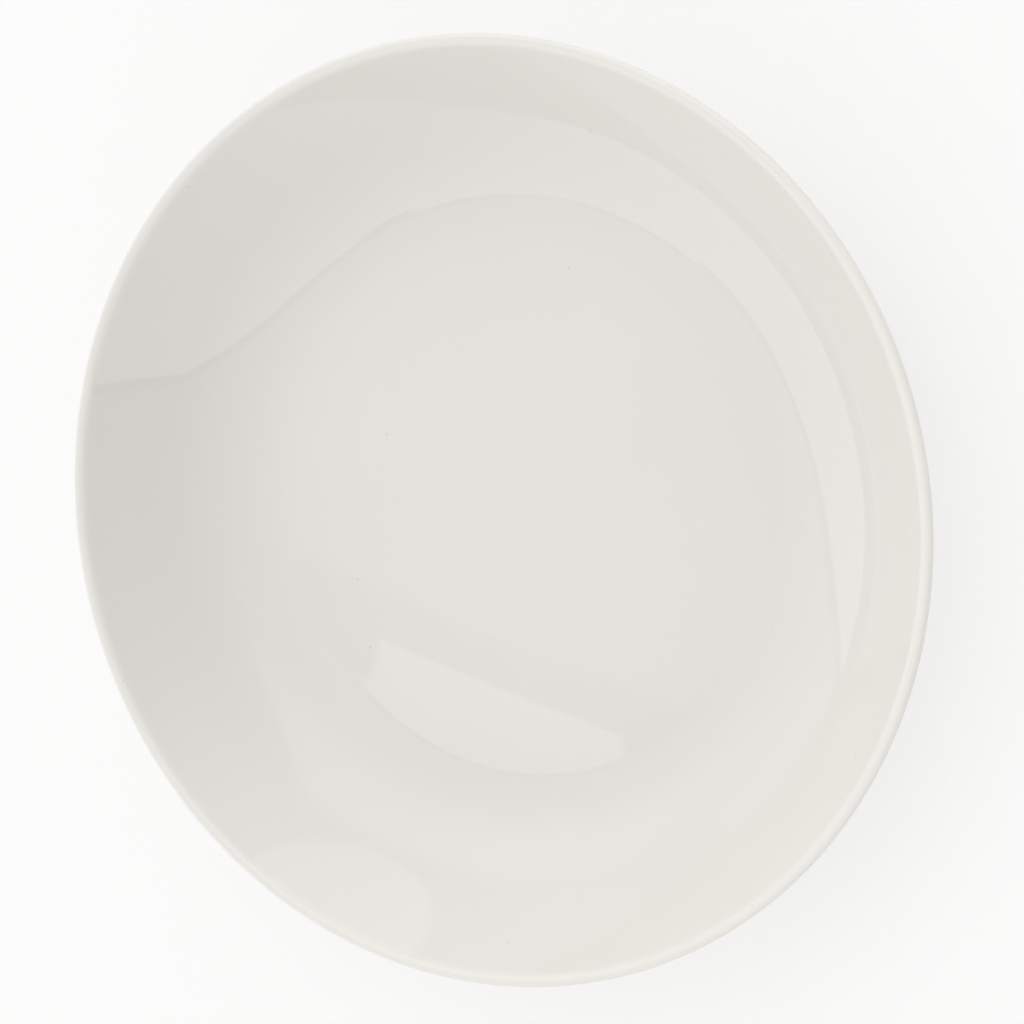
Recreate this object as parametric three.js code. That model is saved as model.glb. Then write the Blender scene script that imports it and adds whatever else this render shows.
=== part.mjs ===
// Deep coupe plate of glazed porcelain, lying on its foot ring.
// Millimetres, +Z up along the plate's axis, origin at the middle of the standing plane.
import * as THREE from "three";

// Finished outer size, glaze included
const PLATE_DIAMETER = 260;
const PLATE_HEIGHT = 39.5;

// Dish: a faintly crowned floor that is lowest at its edge, a rounded corner and a curved wall
const WALL_SPAN = 49.5; // level distance from the edge of the floor to the outside of the rim
const FLOOR_CROWN = 2.3; // how much higher the floor lies at the axis than at its edge
const HOLLOW_RADIUS = 150; // of the shallow hollow between the crown and the edge
const CORNER_RADIUS = 43;
const WALL_RADIUS = 140;

// Fired body without its glaze
const FLOOR_THICKNESS = 4.2;
const LIP_THICKNESS = 2.4;
const LIP_EDGE_RADIUS = 0.8;

// Foot ring under the edge of the floor
const FOOT_INSET = 3; // level distance from the edge of the floor in to the outside of the foot
const FOOT_WIDTH = 5;
const FOOT_HEIGHT = 3.6; // from the standing plane up to the underside below the edge of the floor
const FOOT_FILLET = 1.8;
const FOOT_EDGE_RADIUS = 0.9;

// Glaze, with the foot wiped bare up to a line
const GLAZE_THICKNESS = 0.3;
const GLAZE_SEAM = 0.02; // joint between the body and the glaze
const BARE_FOOT_HEIGHT = 1.3;

// Fineness of the faceted surfaces
const TURN_STEPS = 60;
const FLOOR_STEPS = 3;
const HOLLOW_STEPS = 2;
const CORNER_STEPS = 5;
const WALL_STEPS = 3;
const LIP_STEPS = 3;
const FILLET_STEPS = 3;
const EDGE_STEPS = 2;

// The corner's arc fills at most this share of the room between the floor and the lip.
const CORNER_ROOM = 0.97;

// Rounds in which the wall's slope and the lip's place settle on each other, from a first slope
const SETTLING_ROUNDS = 12;
const FIRST_WALL_SLOPE = Math.PI / 4;

const QUARTER = Math.PI / 2;
const glazeBuild = GLAZE_SEAM + GLAZE_THICKNESS;
const floorEdge = PLATE_DIAMETER / 2 - WALL_SPAN;
const footOutside = floorEdge - FOOT_INSET;
const footInside = footOutside - FOOT_WIDTH;

// Points of an arc in the (r, z) half plane, each with the outward normal of the body there.
// A hollow arc has its centre in the air, so its normal points at the centre.
function arc(centre, radius, from, to, steps, hollow) {
  const facing = hollow ? -1 : 1;
  return Array.from({ length: steps + 1 }, (_, i) => {
    const angle = from + ((to - from) * i) / steps;
    const across = Math.cos(angle);
    const up = Math.sin(angle);
    return {
      r: centre.r + radius * across,
      z: centre.z + radius * up,
      nr: facing * across,
      nz: facing * up,
    };
  });
}

// A point moved along its normal, outwards for a positive distance.
function offset(point, distance) {
  return { ...point, r: point.r + point.nr * distance, z: point.z + point.nz * distance };
}

// The point part of the way from one outline point to the next.
function between(a, b, share) {
  const mix = (key) => a[key] + (b[key] - a[key]) * share;
  const length = Math.hypot(mix("nr"), mix("nz"));
  return { r: mix("r"), z: mix("z"), nr: mix("nr") / length, nz: mix("nz") / length };
}

// The lip of a wall of this slope: a level top between two rounded edges, each tangent to a face of the wall.
// The centres of the edges lie where the glazed lip just reaches the plate's diameter and height.
function lipOn(slope) {
  const level = (LIP_THICKNESS - 2 * LIP_EDGE_RADIUS) / Math.sin(slope);
  const outerR = PLATE_DIAMETER / 2 - glazeBuild - LIP_EDGE_RADIUS;
  return { slope, r: outerR - level, outerR, z: PLATE_HEIGHT - glazeBuild - LIP_EDGE_RADIUS };
}

// Centre of the wall's arc, which touches the corner's arc and ends tangent to the lip.
function wallCentre(cornerCentre, cornerRadius, lip) {
  const toCorner = WALL_RADIUS - cornerRadius;
  const toLip = WALL_RADIUS + LIP_EDGE_RADIUS;
  const dr = lip.r - cornerCentre.r;
  const dz = lip.z - cornerCentre.z;
  const span = Math.hypot(dr, dz);
  const along = (toCorner ** 2 - toLip ** 2 + span ** 2) / (2 * span);
  const beside = Math.sqrt(toCorner ** 2 - along ** 2);
  return {
    r: cornerCentre.r + (along * dr - beside * dz) / span,
    z: cornerCentre.z + (along * dz + beside * dr) / span,
  };
}

// Upper face of the floor from the axis out to its edge: a crown that runs tangent into the hollow.
function floorArcs() {
  const low = FOOT_HEIGHT + FLOOR_THICKNESS;
  const centreDistance = (floorEdge ** 2 + FLOOR_CROWN ** 2) / (2 * FLOOR_CROWN);
  const crownRadius = centreDistance - HOLLOW_RADIUS;
  const slope = Math.asin(floorEdge / centreDistance);
  const crownCentre = { r: 0, z: low + FLOOR_CROWN - crownRadius };
  const hollowCentre = { r: floorEdge, z: low + HOLLOW_RADIUS };
  const crown = arc(crownCentre, crownRadius, QUARTER, QUARTER - slope, FLOOR_STEPS, false);
  const hollow = arc(hollowCentre, HOLLOW_RADIUS, -QUARTER - slope, -QUARTER, HOLLOW_STEPS, true);
  return [...crown, ...hollow.slice(1)];
}

// Upper face from the edge of the floor out to the start of the lip.
function sideArcs(edge, lip) {
  const dr = lip.r - edge.r;
  const dz = lip.z - edge.z;
  const rise = dr * edge.nr + dz * edge.nz;
  const largestCorner = (dr ** 2 + dz ** 2 - LIP_EDGE_RADIUS ** 2) / (2 * (rise + LIP_EDGE_RADIUS));
  const cornerRadius = Math.min(CORNER_RADIUS, CORNER_ROOM * largestCorner);
  const cornerCentre = offset(edge, cornerRadius);

  const centre = wallCentre(cornerCentre, cornerRadius, lip);
  const footOfWall = Math.atan2(cornerCentre.z - centre.z, cornerCentre.r - centre.r);
  const topOfWall = Math.atan2(lip.z - centre.z, lip.r - centre.r);
  const corner = arc(cornerCentre, cornerRadius, -QUARTER, footOfWall, CORNER_STEPS, true);
  const wall = arc(centre, WALL_RADIUS, footOfWall, topOfWall, WALL_STEPS, true);
  return [...corner, ...wall.slice(1)];
}

// Upper face of the body from the axis out to the lip, as floor and side, with the lip that fits it.
function dishArcs() {
  const floor = floorArcs();
  let lip = lipOn(FIRST_WALL_SLOPE);
  for (let round = 0; round < SETTLING_ROUNDS; round += 1) {
    const top = sideArcs(floor.at(-1), lip).at(-1);
    lip = lipOn(Math.atan2(-top.nr, top.nz));
  }
  return { floor, side: sideArcs(floor.at(-1), lip), lip };
}

// Lower face of the body from the axis out to the lip, which thins from the floor to the lip.
function underside({ floor, side }) {
  const lengths = [0];
  side.slice(1).forEach((point, i) => {
    lengths.push(lengths[i] + Math.hypot(point.r - side[i].r, point.z - side[i].z));
  });
  const below = (point, thickness) => {
    return { ...offset(point, -thickness), nr: -point.nr, nz: -point.nz };
  };
  const underFloor = floor.map((point) => below(point, FLOOR_THICKNESS));
  const underSide = side.map((point, i) => {
    const share = lengths[i] / lengths.at(-1);
    const ease = share * share * (3 - 2 * share);
    return below(point, FLOOR_THICKNESS + (LIP_THICKNESS - FLOOR_THICKNESS) * ease);
  });
  return [...underFloor, ...underSide.slice(1)];
}

// The lip from the wall's upper face, over its level top, round to the wall's lower face.
function lipArc(lip) {
  const outer = { r: lip.outerR, z: lip.z };
  const inside = arc(lip, LIP_EDGE_RADIUS, QUARTER + lip.slope, QUARTER, LIP_STEPS, false);
  const outside = arc(outer, LIP_EDGE_RADIUS, QUARTER, 0, LIP_STEPS, false);
  const below = arc(outer, LIP_EDGE_RADIUS, 0, lip.slope - QUARTER, LIP_STEPS, false);
  return [...inside.slice(1), ...outside, ...below.slice(1)];
}

// Where a fillet of this radius meets the underside, with its centre at a given radius from the axis.
function filletSeat(under, fillet, centreRadius) {
  const index = under.findIndex((point) => offset(point, fillet).r > centreRadius);
  const inner = offset(under[index - 1], fillet).r;
  const outer = offset(under[index], fillet).r;
  return { index, seat: between(under[index - 1], under[index], (centreRadius - inner) / (outer - inner)) };
}

// Foot ring from its outer fillet, over the flat standing face, to its inner fillet.
function footRing(outerSeat, innerSeat, fillet) {
  const edge = FOOT_EDGE_RADIUS;
  const upAngle = (seat) => Math.atan2(-seat.nz, -seat.nr);
  const outerEdge = { r: footOutside - edge, z: edge };
  const innerEdge = { r: footInside + edge, z: edge };
  return [
    ...arc(offset(outerSeat, fillet), fillet, upAngle(outerSeat), Math.PI, FILLET_STEPS, true),
    ...arc(outerEdge, edge, 0, -QUARTER, EDGE_STEPS, false),
    ...arc(innerEdge, edge, -QUARTER, -2 * QUARTER, EDGE_STEPS, false),
    ...arc(offset(innerSeat, fillet), fillet, 0, upAngle(innerSeat), FILLET_STEPS, true),
  ];
}

// The body's outline from the axis at the top, over the lip and the foot, to the axis at the bottom.
function bodyOutline() {
  const dish = dishArcs();
  const under = underside(dish);
  const fillet = Math.min(FOOT_FILLET, FOOT_HEIGHT - FOOT_EDGE_RADIUS);
  const outer = filletSeat(under, fillet, footOutside + fillet);
  const inner = filletSeat(under, fillet, footInside - fillet);
  return [
    ...dish.floor,
    ...dish.side.slice(1),
    ...lipArc(dish.lip),
    ...under.slice(outer.index).reverse(),
    ...footRing(outer.seat, inner.seat, fillet),
    ...under.slice(0, inner.index).reverse(),
  ];
}

// The stretch of an outline from its start down to the bare line on the foot.
function glazedStretch(outline) {
  const index = outline.findIndex((point) => point.z < BARE_FOOT_HEIGHT);
  const above = outline[index - 1];
  const below = outline[index];
  const share = (above.z - BARE_FOOT_HEIGHT) / (above.z - below.z);
  return [...outline.slice(0, index), between(above, below, share)];
}

// A closed solid turned about +Z from an outline that starts and ends on the axis, given from the top down.
function turned(outline) {
  const profile = outline.map((point) => new THREE.Vector2(point.r, point.z)).reverse();
  return new THREE.LatheGeometry(profile, TURN_STEPS).rotateX(QUARTER);
}

// A layer of glaze on a stretch of the body's outline.
function glazeOutline(stretch) {
  const face = stretch.map((point) => offset(point, glazeBuild));
  const back = stretch.map((point) => offset(point, GLAZE_SEAM));
  return { face, back };
}

function porcelainBody(outline) {
  const bisque = new THREE.MeshStandardMaterial({ color: 0xe4dfd6, roughness: 0.75, metalness: 0 });
  const mesh = new THREE.Mesh(turned(outline), bisque);
  mesh.name = "porcelain_body";
  return mesh;
}

function glazeCoat(outline) {
  const gloss = new THREE.MeshStandardMaterial({ color: 0xe6e2da, roughness: 0.08, metalness: 0 });
  const { face, back } = glazeOutline(glazedStretch(outline));
  const mesh = new THREE.Mesh(turned([...face, ...back.reverse()]), gloss);
  mesh.name = "glaze_coat";
  return mesh;
}

function baseGlaze(outline) {
  const gloss = new THREE.MeshStandardMaterial({ color: 0xe3dfd6, roughness: 0.12, metalness: 0 });
  const { face, back } = glazeOutline(glazedStretch([...outline].reverse()));
  const mesh = new THREE.Mesh(turned([...back, ...face.reverse()]), gloss);
  mesh.name = "base_glaze";
  return mesh;
}

const outline = bodyOutline();
const plate = new THREE.Group();
plate.add(porcelainBody(outline), glazeCoat(outline), baseGlaze(outline));

export default plate;
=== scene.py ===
import math
from collections import namedtuple

import bmesh
import bpy
from mathutils import Matrix, Vector


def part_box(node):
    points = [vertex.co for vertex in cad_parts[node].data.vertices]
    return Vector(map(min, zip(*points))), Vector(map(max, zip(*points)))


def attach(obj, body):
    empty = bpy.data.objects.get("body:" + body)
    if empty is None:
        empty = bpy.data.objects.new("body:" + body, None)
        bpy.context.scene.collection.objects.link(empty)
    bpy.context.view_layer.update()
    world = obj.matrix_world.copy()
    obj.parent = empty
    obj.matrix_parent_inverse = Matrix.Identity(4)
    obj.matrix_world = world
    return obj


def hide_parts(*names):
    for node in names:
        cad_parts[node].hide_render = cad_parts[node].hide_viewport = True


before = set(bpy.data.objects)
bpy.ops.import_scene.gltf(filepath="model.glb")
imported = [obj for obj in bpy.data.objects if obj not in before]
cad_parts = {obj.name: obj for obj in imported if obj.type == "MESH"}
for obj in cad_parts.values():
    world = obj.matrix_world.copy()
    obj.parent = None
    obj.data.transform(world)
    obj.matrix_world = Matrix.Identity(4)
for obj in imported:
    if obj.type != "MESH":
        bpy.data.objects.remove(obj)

MM = 0.001
QUARTER = math.pi / 2
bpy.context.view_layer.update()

# Overall size, from the frame
PLATE_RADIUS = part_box("glaze_coat")[1].x
PLATE_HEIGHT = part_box("glaze_coat")[1].z

# Dish, body and foot, as the solids have them, but for a tighter trough round the floor and a softer lip
WALL_SPAN = 49.5 * MM
FLOOR_CROWN = 2.3 * MM
HOLLOW_RADIUS = 150 * MM
TROUGH_RADIUS = 63 * MM
CORNER_RADIUS = 43 * MM
WALL_RADIUS = 140 * MM
FLOOR_THICKNESS = 4.2 * MM
LIP_THICKNESS = 2.4 * MM
LIP_EDGE_RADIUS = 0.8 * MM
LIP_ROLL_RADIUS = 2.6 * MM
FOOT_INSET = 3 * MM
FOOT_WIDTH = 5 * MM
FOOT_HEIGHT = 3.6 * MM
FOOT_FILLET = 1.8 * MM
FOOT_EDGE_RADIUS = 0.9 * MM
GLAZE_THICKNESS = 0.3 * MM
GLAZE_SEAM = 0.02 * MM
BARE_FOOT_HEIGHT = 1.3 * MM

# Fineness of the visible meshes
TURN_STEPS = 256
FLOOR_STEPS = 30
TROUGH_STEPS = 16
CORNER_STEPS = 24
WALL_STEPS = 20
LIP_STEPS = 10
FILLET_STEPS = 8
EDGE_STEPS = 6
SHARP_TURN = math.radians(35)

GLAZE_BUILD = GLAZE_SEAM + GLAZE_THICKNESS
FLOOR_EDGE = PLATE_RADIUS - WALL_SPAN
FLOOR_LOW = FOOT_HEIGHT + FLOOR_THICKNESS
FOOT_OUTSIDE = FLOOR_EDGE - FOOT_INSET
FOOT_INSIDE = FOOT_OUTSIDE - FOOT_WIDTH
CORNER_CENTRE = (FLOOR_EDGE, FLOOR_LOW + CORNER_RADIUS)
CROWN_RADIUS = (FLOOR_EDGE**2 + FLOOR_CROWN**2) / (2 * FLOOR_CROWN) - HOLLOW_RADIUS
CROWN_CENTRE = (0.0, FLOOR_LOW + FLOOR_CROWN - CROWN_RADIUS)

# The wall's slope and the lip's place settle on each other, from a first slope
SETTLING_ROUNDS = 12
FIRST_WALL_SLOPE = math.pi / 4

# A point of an outline in the half plane of radius and height, with the outward normal there
Point = namedtuple("Point", "r z nr nz")

# The wall's slope at the lip, and the centres of the roll on the lip's inner side and of its outer edge
Lip = namedtuple("Lip", "slope inner outer")


def arc(centre, radius, start, end, steps, hollow):
    """Points of an arc; a hollow one has its centre in the air, so its normal points there."""
    facing = -1 if hollow else 1
    points = []
    for i in range(steps + 1):
        angle = start + (end - start) * i / steps
        across, up = math.cos(angle), math.sin(angle)
        r, z = centre[0] + radius * across, centre[1] + radius * up
        points.append(Point(r, z, facing * across, facing * up))
    return points


def offset(point, distance):
    """The point moved along its normal."""
    return point._replace(r=point.r + point.nr * distance, z=point.z + point.nz * distance)


def between(a, b, share):
    """The point part of the way from one outline point to the next."""
    mixed = [p + (q - p) * share for p, q in zip(a, b)]
    length = math.hypot(mixed[2], mixed[3])
    return Point(mixed[0], mixed[1], mixed[2] / length, mixed[3] / length)


def meeting(a, reach_a, b, reach_b, side):
    """The point at these distances from two centres, on one side of the line between them."""
    dr, dz = b[0] - a[0], b[1] - a[1]
    span = math.hypot(dr, dz)
    along = (reach_a**2 - reach_b**2 + span**2) / (2 * span)
    beside = side * math.sqrt(reach_a**2 - along**2)
    return (a[0] + (along * dr - beside * dz) / span, a[1] + (along * dz + beside * dr) / span)


def bearing(a, b):
    """The angle of the line from one centre to another."""
    return math.atan2(b[1] - a[1], b[0] - a[0])


def trough_centre():
    """Centre of the trough, whose arc touches the crown of the floor and the corner."""
    to_corner, to_crown = TROUGH_RADIUS - CORNER_RADIUS, TROUGH_RADIUS + CROWN_RADIUS
    return meeting(CORNER_CENTRE, to_corner, CROWN_CENTRE, to_crown, -1)


def floor_arcs():
    """Upper face of the floor from the axis out to the corner: the crown, then the trough."""
    trough = trough_centre()
    crown = arc(CROWN_CENTRE, CROWN_RADIUS, QUARTER, bearing(CROWN_CENTRE, trough), FLOOR_STEPS, False)
    first, last = bearing(trough, CROWN_CENTRE), bearing(trough, CORNER_CENTRE)
    return crown + arc(trough, TROUGH_RADIUS, first, last, TROUGH_STEPS, True)[1:]


def side_arcs(lip):
    """Upper face from the floor out to the lip: the corner, then the wall."""
    wall = meeting(CORNER_CENTRE, WALL_RADIUS - CORNER_RADIUS, lip.inner, WALL_RADIUS + LIP_ROLL_RADIUS, 1)
    first, last = bearing(trough_centre(), CORNER_CENTRE), bearing(wall, CORNER_CENTRE)
    corner = arc(CORNER_CENTRE, CORNER_RADIUS, first, last, CORNER_STEPS, True)
    return corner + arc(wall, WALL_RADIUS, last, bearing(wall, lip.inner), WALL_STEPS, True)[1:]


def underside(floor, side):
    """Lower face of the body from the axis out to the lip, thinning from the floor to the lip."""
    lengths = [0.0]
    for a, b in zip(side, side[1:]):
        lengths.append(lengths[-1] + math.hypot(b.r - a.r, b.z - a.z))
    points = []
    for point in floor:
        points.append(offset(point, -FLOOR_THICKNESS)._replace(nr=-point.nr, nz=-point.nz))
    for point, length in list(zip(side, lengths))[1:]:
        share = length / lengths[-1]
        ease = share * share * (3 - 2 * share)
        thickness = FLOOR_THICKNESS + (LIP_THICKNESS - FLOOR_THICKNESS) * ease
        points.append(offset(point, -thickness)._replace(nr=-point.nr, nz=-point.nz))
    return points


def lip_on(slope):
    """The lip on a wall of this slope: a level top between two rounded edges, at the plate's full size."""
    softer = LIP_ROLL_RADIUS - LIP_EDGE_RADIUS
    level = (LIP_THICKNESS - LIP_ROLL_RADIUS - LIP_EDGE_RADIUS + softer * math.cos(slope)) / math.sin(slope)
    outer_r = PLATE_RADIUS - GLAZE_BUILD - LIP_EDGE_RADIUS
    top = PLATE_HEIGHT - GLAZE_BUILD
    return Lip(slope, (outer_r - level, top - LIP_ROLL_RADIUS), (outer_r, top - LIP_EDGE_RADIUS))


def settled_lip():
    """The lip that fits the wall which leads up to it."""
    lip = lip_on(FIRST_WALL_SLOPE)
    for _ in range(SETTLING_ROUNDS):
        top = side_arcs(lip)[-1]
        lip = lip_on(math.atan2(-top.nr, top.nz))
    return lip


def lip_arc(lip):
    """The lip from the wall's upper face, over its level top, round to the wall's lower face."""
    inside = arc(lip.inner, LIP_ROLL_RADIUS, QUARTER + lip.slope, QUARTER, LIP_STEPS, False)
    outside = arc(lip.outer, LIP_EDGE_RADIUS, QUARTER, 0.0, LIP_STEPS, False)
    below = arc(lip.outer, LIP_EDGE_RADIUS, 0.0, lip.slope - QUARTER, LIP_STEPS, False)
    return inside[1:] + outside + below[1:]


def fillet_seat(under, centre_radius):
    """Where the foot's fillet meets the underside, with the fillet's centre at this radius from the axis."""
    reach = [offset(point, FOOT_FILLET).r for point in under]
    index = next(i for i, r in enumerate(reach) if r > centre_radius)
    share = (centre_radius - reach[index - 1]) / (reach[index] - reach[index - 1])
    return index, between(under[index - 1], under[index], share)


def foot_ring(outer_seat, inner_seat):
    """Foot ring from its outer fillet, over the flat standing face, to its inner fillet."""
    outer_edge = (FOOT_OUTSIDE - FOOT_EDGE_RADIUS, FOOT_EDGE_RADIUS)
    inner_edge = (FOOT_INSIDE + FOOT_EDGE_RADIUS, FOOT_EDGE_RADIUS)
    outer_up = math.atan2(-outer_seat.nz, -outer_seat.nr)
    inner_up = math.atan2(-inner_seat.nz, -inner_seat.nr)
    points = arc(offset(outer_seat, FOOT_FILLET), FOOT_FILLET, outer_up, math.pi, FILLET_STEPS, True)
    points += arc(outer_edge, FOOT_EDGE_RADIUS, 0.0, -QUARTER, EDGE_STEPS, False)
    points += arc(inner_edge, FOOT_EDGE_RADIUS, -QUARTER, -math.pi, EDGE_STEPS, False)
    points += arc(offset(inner_seat, FOOT_FILLET), FOOT_FILLET, 0.0, inner_up, FILLET_STEPS, True)
    return points


def body_outline():
    """The body's outline from the axis at the top, over the lip and the foot, to the axis at the bottom."""
    lip = settled_lip()
    floor = floor_arcs()
    side = side_arcs(lip)
    under = underside(floor, side)
    outer_index, outer_seat = fillet_seat(under, FOOT_OUTSIDE + FOOT_FILLET)
    inner_index, inner_seat = fillet_seat(under, FOOT_INSIDE - FOOT_FILLET)
    outline = floor + side[1:] + lip_arc(lip)
    outline += under[:outer_index - 1:-1]
    outline += foot_ring(outer_seat, inner_seat)
    outline += under[inner_index - 1::-1]
    return outline


def glazed_stretch(outline):
    """The stretch of an outline from its start down to the bare line on the foot."""
    index = next(i for i, point in enumerate(outline) if point.z < BARE_FOOT_HEIGHT)
    above, below = outline[index - 1], outline[index]
    share = (above.z - BARE_FOOT_HEIGHT) / (above.z - below.z)
    return outline[:index] + [between(above, below, share)]


def glaze_outline(stretch):
    """Outline of a glaze layer on a stretch of the body: its face, a soft bead at its end, and its back."""
    face = [offset(point, GLAZE_BUILD) for point in stretch]
    back = [offset(point, GLAZE_SEAM) for point in stretch]
    end = stretch[-1]
    drop = GLAZE_THICKNESS / 2
    middle = offset(end, GLAZE_SEAM + drop)
    facing = math.atan2(end.nz, end.nr)
    turn = -math.pi if end.nr > 0 else math.pi
    bead = arc((middle.r, middle.z), drop, facing, facing + turn, EDGE_STEPS, False)
    return face[:-1] + bead + back[-2::-1]


def turned(name, outline):
    """A closed, smoothly shaded mesh turned about +Z from an outline that starts and ends on the axis."""
    mesh = bmesh.new()
    rings = []
    for point in outline:
        if point.r < 1e-7:
            rings.append([mesh.verts.new((0.0, 0.0, point.z))])
            continue
        ring = []
        for i in range(TURN_STEPS):
            angle = 2 * math.pi * i / TURN_STEPS
            ring.append(mesh.verts.new((point.r * math.cos(angle), point.r * math.sin(angle), point.z)))
        rings.append(ring)
    for a, b in zip(rings, rings[1:]):
        for i in range(TURN_STEPS):
            j = (i + 1) % TURN_STEPS
            corners = [a[i % len(a)], b[i % len(b)], b[j % len(b)], a[j % len(a)]]
            face = mesh.faces.new(list(dict.fromkeys(corners)))
            face.smooth = True
    bmesh.ops.recalc_face_normals(mesh, faces=mesh.faces)
    for edge in mesh.edges:
        edge.smooth = edge.calc_face_angle(0.0) < SHARP_TURN
    data = bpy.data.meshes.new(name)
    mesh.to_mesh(data)
    mesh.free()
    obj = bpy.data.objects.new(name, data)
    bpy.context.scene.collection.objects.link(obj)
    return obj


class Nodes:
    """Short hand for adding linked nodes to a node tree."""

    def __init__(self, tree):
        self.tree = tree

    def add(self, kind, settings=None, **inputs):
        node = self.tree.nodes.new(kind)
        for key, value in (settings or {}).items():
            setattr(node, key, value)
        for key, value in inputs.items():
            self.put(value, node.inputs[key.replace("_", " ")])
        return node

    def put(self, value, socket):
        if isinstance(value, bpy.types.NodeSocket):
            self.tree.links.new(value, socket)
        else:
            socket.default_value = value

    def math(self, operation, *values):
        node = self.add("ShaderNodeMath", {"operation": operation})
        for value, socket in zip(values, node.inputs):
            self.put(value, socket)
        return node.outputs[0]

    def ramp(self, value, low, high, start=0.0, end=1.0):
        """Smooth step of a value from start at low to end at high."""
        settings = {"interpolation_type": "SMOOTHSTEP"}
        limits = {"From_Min": low, "From_Max": high, "To_Min": start, "To_Max": end}
        return self.add("ShaderNodeMapRange", settings, Value=value, **limits).outputs["Result"]


def new_material(name):
    """A node material, with its nodes and its shader."""
    material = bpy.data.materials.new(name)
    material.use_nodes = True
    nodes = Nodes(material.node_tree)
    return material, nodes, material.node_tree.nodes["Principled BSDF"]


def two_tone(nodes, value, dark, light):
    """A colour that goes from dark to light as the value rises."""
    node = nodes.add("ShaderNodeValToRGB", Fac=value)
    first, last = node.color_ramp.elements
    first.position, last.position = 0.3, 0.7
    first.color, last.color = (*dark, 1), (*light, 1)
    return node.outputs["Color"]


def blend(nodes, share, first, second):
    """A colour mixed from two, by the share of the second."""
    mix = nodes.add("ShaderNodeMix", {"data_type": "RGBA"})
    for value, index in ((share, 0), (first, 6), (second, 7)):
        nodes.put(value, mix.inputs[index])
    return mix.outputs[2]


GLAZE_COLOUR = (0.74, 0.72, 0.682)
GLAZE_ROUGHNESS = 0.012
BASE_GLAZE_COLOUR = (0.73, 0.71, 0.67)
BASE_GLAZE_ROUGHNESS = 0.08

# Pinhole specks in the glaze: one in each cell of a grid with this many cells to the metre
SPECK_COLOUR = (0.42, 0.39, 0.34, 1)
SPECK_DEPTH = 0.5
SPECK_SCALE = 75.0
SPECK_RADIUS = 0.35 * MM

# Painted highlight: the glaze colour is painted paler over the last stretch up to the lip's top, where the
# lip catches the light
LIP_HIGHLIGHT_REACH = 2.5 * MM
LIP_HIGHLIGHT_GAIN = 1.035


def glaze_material(name, colour, rough):
    """Clear glaze over white porcelain: a faint drift of tone, sparse specks, an uneven gloss and a painted
    highlight paler towards the lip's top.
    """
    material, nodes, shader = new_material(name)
    place = nodes.add("ShaderNodeTexCoord").outputs["Object"]
    drift = nodes.add("ShaderNodeTexNoise", Vector=place, Scale=9.0, Detail=3.0).outputs["Fac"]
    tint = two_tone(nodes, drift, [c * 0.99 for c in colour], [c * 1.008 for c in colour])
    cell = nodes.add("ShaderNodeTexVoronoi", Vector=place, Scale=SPECK_SCALE).outputs["Distance"]
    reach = SPECK_RADIUS * SPECK_SCALE
    speck = nodes.ramp(cell, reach / 2, reach, SPECK_DEPTH, 0.0)
    height = nodes.add("ShaderNodeSeparateXYZ", Vector=place).outputs["Z"]
    # Painted highlight: the base colour turns paler towards the lip's top
    lip_highlight = nodes.ramp(height, PLATE_HEIGHT - LIP_HIGHLIGHT_REACH, PLATE_HEIGHT)
    glaze = blend(nodes, lip_highlight, tint, (*[c * LIP_HIGHLIGHT_GAIN for c in colour], 1))
    nodes.put(blend(nodes, speck, glaze, SPECK_COLOUR), shader.inputs["Base Color"])
    cloud = nodes.add("ShaderNodeTexNoise", Vector=place, Scale=25.0, Detail=4.0).outputs["Fac"]
    nodes.put(nodes.ramp(cloud, 0.3, 0.7, rough, rough + 0.01), shader.inputs["Roughness"])
    peel = nodes.add("ShaderNodeTexNoise", Vector=place, Scale=160.0, Detail=1.0).outputs["Fac"]
    bump = nodes.add("ShaderNodeBump", Height=peel, Strength=0.006, Distance=0.0002)
    nodes.put(bump.outputs["Normal"], shader.inputs["Normal"])
    shader.inputs["IOR"].default_value = 1.5
    return material


def bisque_material():
    """Bare fired porcelain: matte and finely grained."""
    material, nodes, shader = new_material("bare_porcelain")
    place = nodes.add("ShaderNodeTexCoord").outputs["Object"]
    grain = nodes.add("ShaderNodeTexNoise", Vector=place, Scale=1800.0, Detail=4.0).outputs["Fac"]
    nodes.put(two_tone(nodes, grain, (0.60, 0.57, 0.51), (0.72, 0.69, 0.63)), shader.inputs["Base Color"])
    bump = nodes.add("ShaderNodeBump", Height=grain, Strength=0.3, Distance=0.0001)
    nodes.put(bump.outputs["Normal"], shader.inputs["Normal"])
    shader.inputs["Roughness"].default_value = 0.75
    return material


def dress(name, outline, node, material):
    """A turned piece with its material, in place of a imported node."""
    piece = turned(name, outline)
    piece.data.materials.append(material)
    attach(piece, "root")
    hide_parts(node)


# Camera, at the photograph's viewing angle
CAMERA_AZIMUTH = math.radians(18.702)
CAMERA_ELEVATION = math.radians(62.175)
CAMERA_DISTANCE = 806.51 * MM
CAMERA_AIM = Vector((11.535, 2.702, 38.38)) * MM
FOCAL_PIXELS = 3000
IMAGE_PIXELS = 1024
SENSOR_WIDTH = 36.0


def look(place, aim, up):
    """Rotation matrix of a camera that looks from a place at a point."""
    back = (place - aim).normalized()
    right = up.cross(back).normalized()
    over = back.cross(right)
    return Matrix((right, over, back)).transposed()


def make_camera():
    """The scene's camera, which looks at the middle of the picture with +Y upwards."""
    data = bpy.data.cameras.new("camera")
    data.sensor_width = SENSOR_WIDTH
    data.lens = FOCAL_PIXELS / IMAGE_PIXELS * SENSOR_WIDTH
    data.clip_start = 0.01
    camera = bpy.data.objects.new("camera", data)
    level = math.cos(CAMERA_ELEVATION)
    towards = Vector((
        level * math.cos(CAMERA_AZIMUTH), level * math.sin(CAMERA_AZIMUTH), math.sin(CAMERA_ELEVATION)))
    place = CAMERA_AIM + towards * CAMERA_DISTANCE
    camera.matrix_world = Matrix.Translation(place) @ look(place, CAMERA_AIM, Vector((0, 1, 0))).to_4x4()
    bpy.context.scene.collection.objects.link(camera)
    bpy.context.scene.camera = camera


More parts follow.
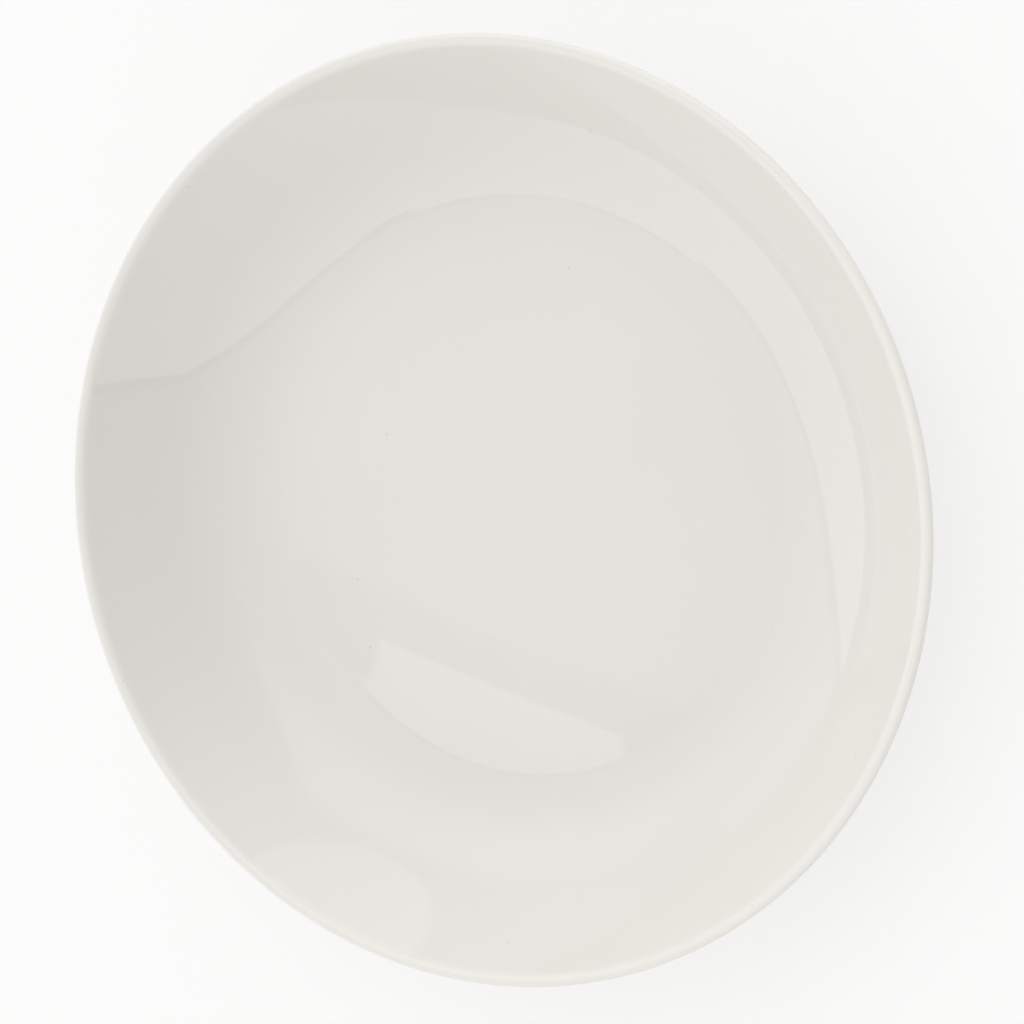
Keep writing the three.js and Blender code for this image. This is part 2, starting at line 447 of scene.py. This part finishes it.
# Pale floor, part of whose white is its own for what the camera and the glaze see of it
FLOOR_REACH = 4.0
FLOOR_COLOUR = (0.95, 0.95, 0.945, 1)
FLOOR_GLOW = 0.7


def make_floor():
    """A level floor at the plate's standing plane."""
    mesh = bmesh.new()
    bmesh.ops.create_grid(mesh, x_segments=4, y_segments=4, size=FLOOR_REACH)
    data = bpy.data.meshes.new("floor")
    mesh.to_mesh(data)
    mesh.free()
    floor = bpy.data.objects.new("floor", data)
    bpy.context.scene.collection.objects.link(floor)
    material, nodes, shader = new_material("floor_white")
    shader.inputs["Base Color"].default_value = FLOOR_COLOUR
    shader.inputs["Roughness"].default_value = 0.9
    shader.inputs["Specular IOR Level"].default_value = 0.0
    glow = nodes.add("ShaderNodeEmission", Color=FLOOR_COLOUR, Strength=1.0).outputs["Emission"]
    path = nodes.add("ShaderNodeLightPath").outputs
    seen = nodes.math("MAXIMUM", path["Is Camera Ray"], path["Is Glossy Ray"])
    seen = nodes.math("MAXIMUM", seen, path["Is Transmission Ray"])
    mix = nodes.add("ShaderNodeMixShader", Fac=nodes.math("MULTIPLY", seen, FLOOR_GLOW))
    nodes.put(shader.outputs["BSDF"], mix.inputs[1])
    nodes.put(glow, mix.inputs[2])
    nodes.put(mix.outputs["Shader"], nodes.tree.nodes["Material Output"].inputs["Surface"])
    data.materials.append(material)


# Studio light all round the plate, as brightness by direction; 1 shows as white
AMBIENT = 0.64

# A white card in front of the plate, below a straight edge, with a dark gap along that edge
CARD = 0.56
CARD_AXIS = Vector((0.236, 0.939, 0.249))
CARD_EDGE = -0.158
CARD_SOFT = 0.0012
GAP = 0.34
GAP_EDGE = -0.123
GAP_SOFT = 0.002

# Round notches in the card's edge, which let the dark gap in, with their core and width in degrees
NOTCH_AXES = (Vector((-0.572, -0.245, 0.782)), Vector((-0.322, -0.33, 0.887)))
NOTCH_CORE = 2.2
NOTCH_WIDTH = 2.4

# A pane is a lit rectangle on a plane one unit away; its spans say where each edge starts and is full
Pane = namedtuple("Pane", "strength out across up lean across_spans up_spans")
X, Y, Z = 0, 1, 2
PANES = {
    "key": Pane(0.62, (Z, 1), (X, 1), (Y, 1), 0.2, (-2.0, -0.5, 0.14, 0.26), (-0.15, 0.4, 1.0, 1.9)),
    "left": Pane(0.2, (X, -1), (Y, 1), (Z, 1), 0.0, (-0.4, -0.2, 0.43, 0.47), (0.0, 0.2, 0.56, 0.61)),
}

# A lobe is a round light about a direction, full out to its core and nothing beyond its width, in degrees
Lobe = namedtuple("Lobe", "strength axis core width")
LOBES = {
    "lamp": Lobe(0.7, Vector((0.03, 1.0, 0.2)), 16, 18),
    "back": Lobe(0.6, Vector((0.0, 0.9, 0.43)), 0, 60),
    "side": Lobe(0.2, Vector((-0.9, 0.1, 0.43)), 0, 60),
}


def make_world():
    """World light by direction: the surrounding, the card with its gap, the panes and the lobes."""
    world = bpy.data.worlds.new("studio")
    world.use_nodes = True
    tree = world.node_tree
    nodes = Nodes(tree)
    background = tree.nodes["Background"]
    direction = nodes.add("ShaderNodeTexCoord").outputs["Generated"]
    parts = nodes.add("ShaderNodeSeparateXYZ", Vector=direction).outputs

    def along(axis):
        node = nodes.add("ShaderNodeVectorMath", {"operation": "DOT_PRODUCT"})
        nodes.put(direction, node.inputs[0])
        node.inputs[1].default_value = axis.normalized()
        return node.outputs["Value"]

    def below(value, edge, soft):
        return nodes.ramp(value, edge - soft, edge + soft, 1.0, 0.0)

    def inside(value, spans):
        rising = nodes.ramp(value, spans[0], spans[1])
        return nodes.math("MULTIPLY", rising, nodes.ramp(value, spans[2], spans[3], 1.0, 0.0))

    def pane_light(pane):
        sides = (pane.out, pane.across, pane.up)
        out, across, up = (nodes.math("MULTIPLY", parts[axis], sign) for axis, sign in sides)
        ahead = nodes.math("MAXIMUM", out, 0.001)
        height = nodes.math("DIVIDE", up, ahead)
        place = nodes.math("MULTIPLY_ADD", height, -pane.lean, nodes.math("DIVIDE", across, ahead))
        return nodes.math("MULTIPLY", inside(place, pane.across_spans), inside(height, pane.up_spans))

    def cone(axis, core, width):
        return nodes.ramp(along(axis), math.cos(math.radians(width)), math.cos(math.radians(core)))

    level = along(CARD_AXIS)
    card = below(level, CARD_EDGE, CARD_SOFT)
    for axis in NOTCH_AXES:
        card = nodes.math("MULTIPLY", card, nodes.math("SUBTRACT", 1.0, cone(axis, NOTCH_CORE, NOTCH_WIDTH)))
    clear = nodes.math("SUBTRACT", 1.0, card)
    gap = nodes.math("MULTIPLY", clear, below(level, GAP_EDGE, GAP_SOFT))
    total = nodes.math("MULTIPLY_ADD", card, CARD, AMBIENT)
    total = nodes.math("MULTIPLY_ADD", gap, -GAP, total)
    for pane in PANES.values():
        light = nodes.math("MULTIPLY", pane_light(pane), clear)
        total = nodes.math("MULTIPLY_ADD", light, pane.strength, total)
    for lobe in LOBES.values():
        light = cone(lobe.axis, lobe.core, lobe.width)
        total = nodes.math("MULTIPLY_ADD", light, lobe.strength, total)

    # Camera rays alone see plain white: the glaze has to mirror the card and the lights
    seen = nodes.add("ShaderNodeLightPath").outputs["Is Camera Ray"]
    total = nodes.math("ADD", nodes.math("MULTIPLY", total, nodes.math("SUBTRACT", 1.0, seen)), seen)
    background.inputs["Color"].default_value = (1, 1, 1, 1)
    nodes.put(total, background.inputs["Strength"])
    bpy.context.scene.world = world


make_camera()
outline = body_outline()
front_glaze = glaze_material("front_glaze", GLAZE_COLOUR, GLAZE_ROUGHNESS)
foot_glaze = glaze_material("foot_glaze", BASE_GLAZE_COLOUR, BASE_GLAZE_ROUGHNESS)
dress("porcelain_body_fine", outline, "porcelain_body", bisque_material())
dress("glaze_coat_fine", glaze_outline(glazed_stretch(outline)), "glaze_coat", front_glaze)
dress("base_glaze_fine", glaze_outline(glazed_stretch(outline[::-1]))[::-1], "base_glaze", foot_glaze)

make_floor()
make_world()

bpy.context.scene.view_settings.view_transform = "Standard"
bpy.context.view_layer.update()
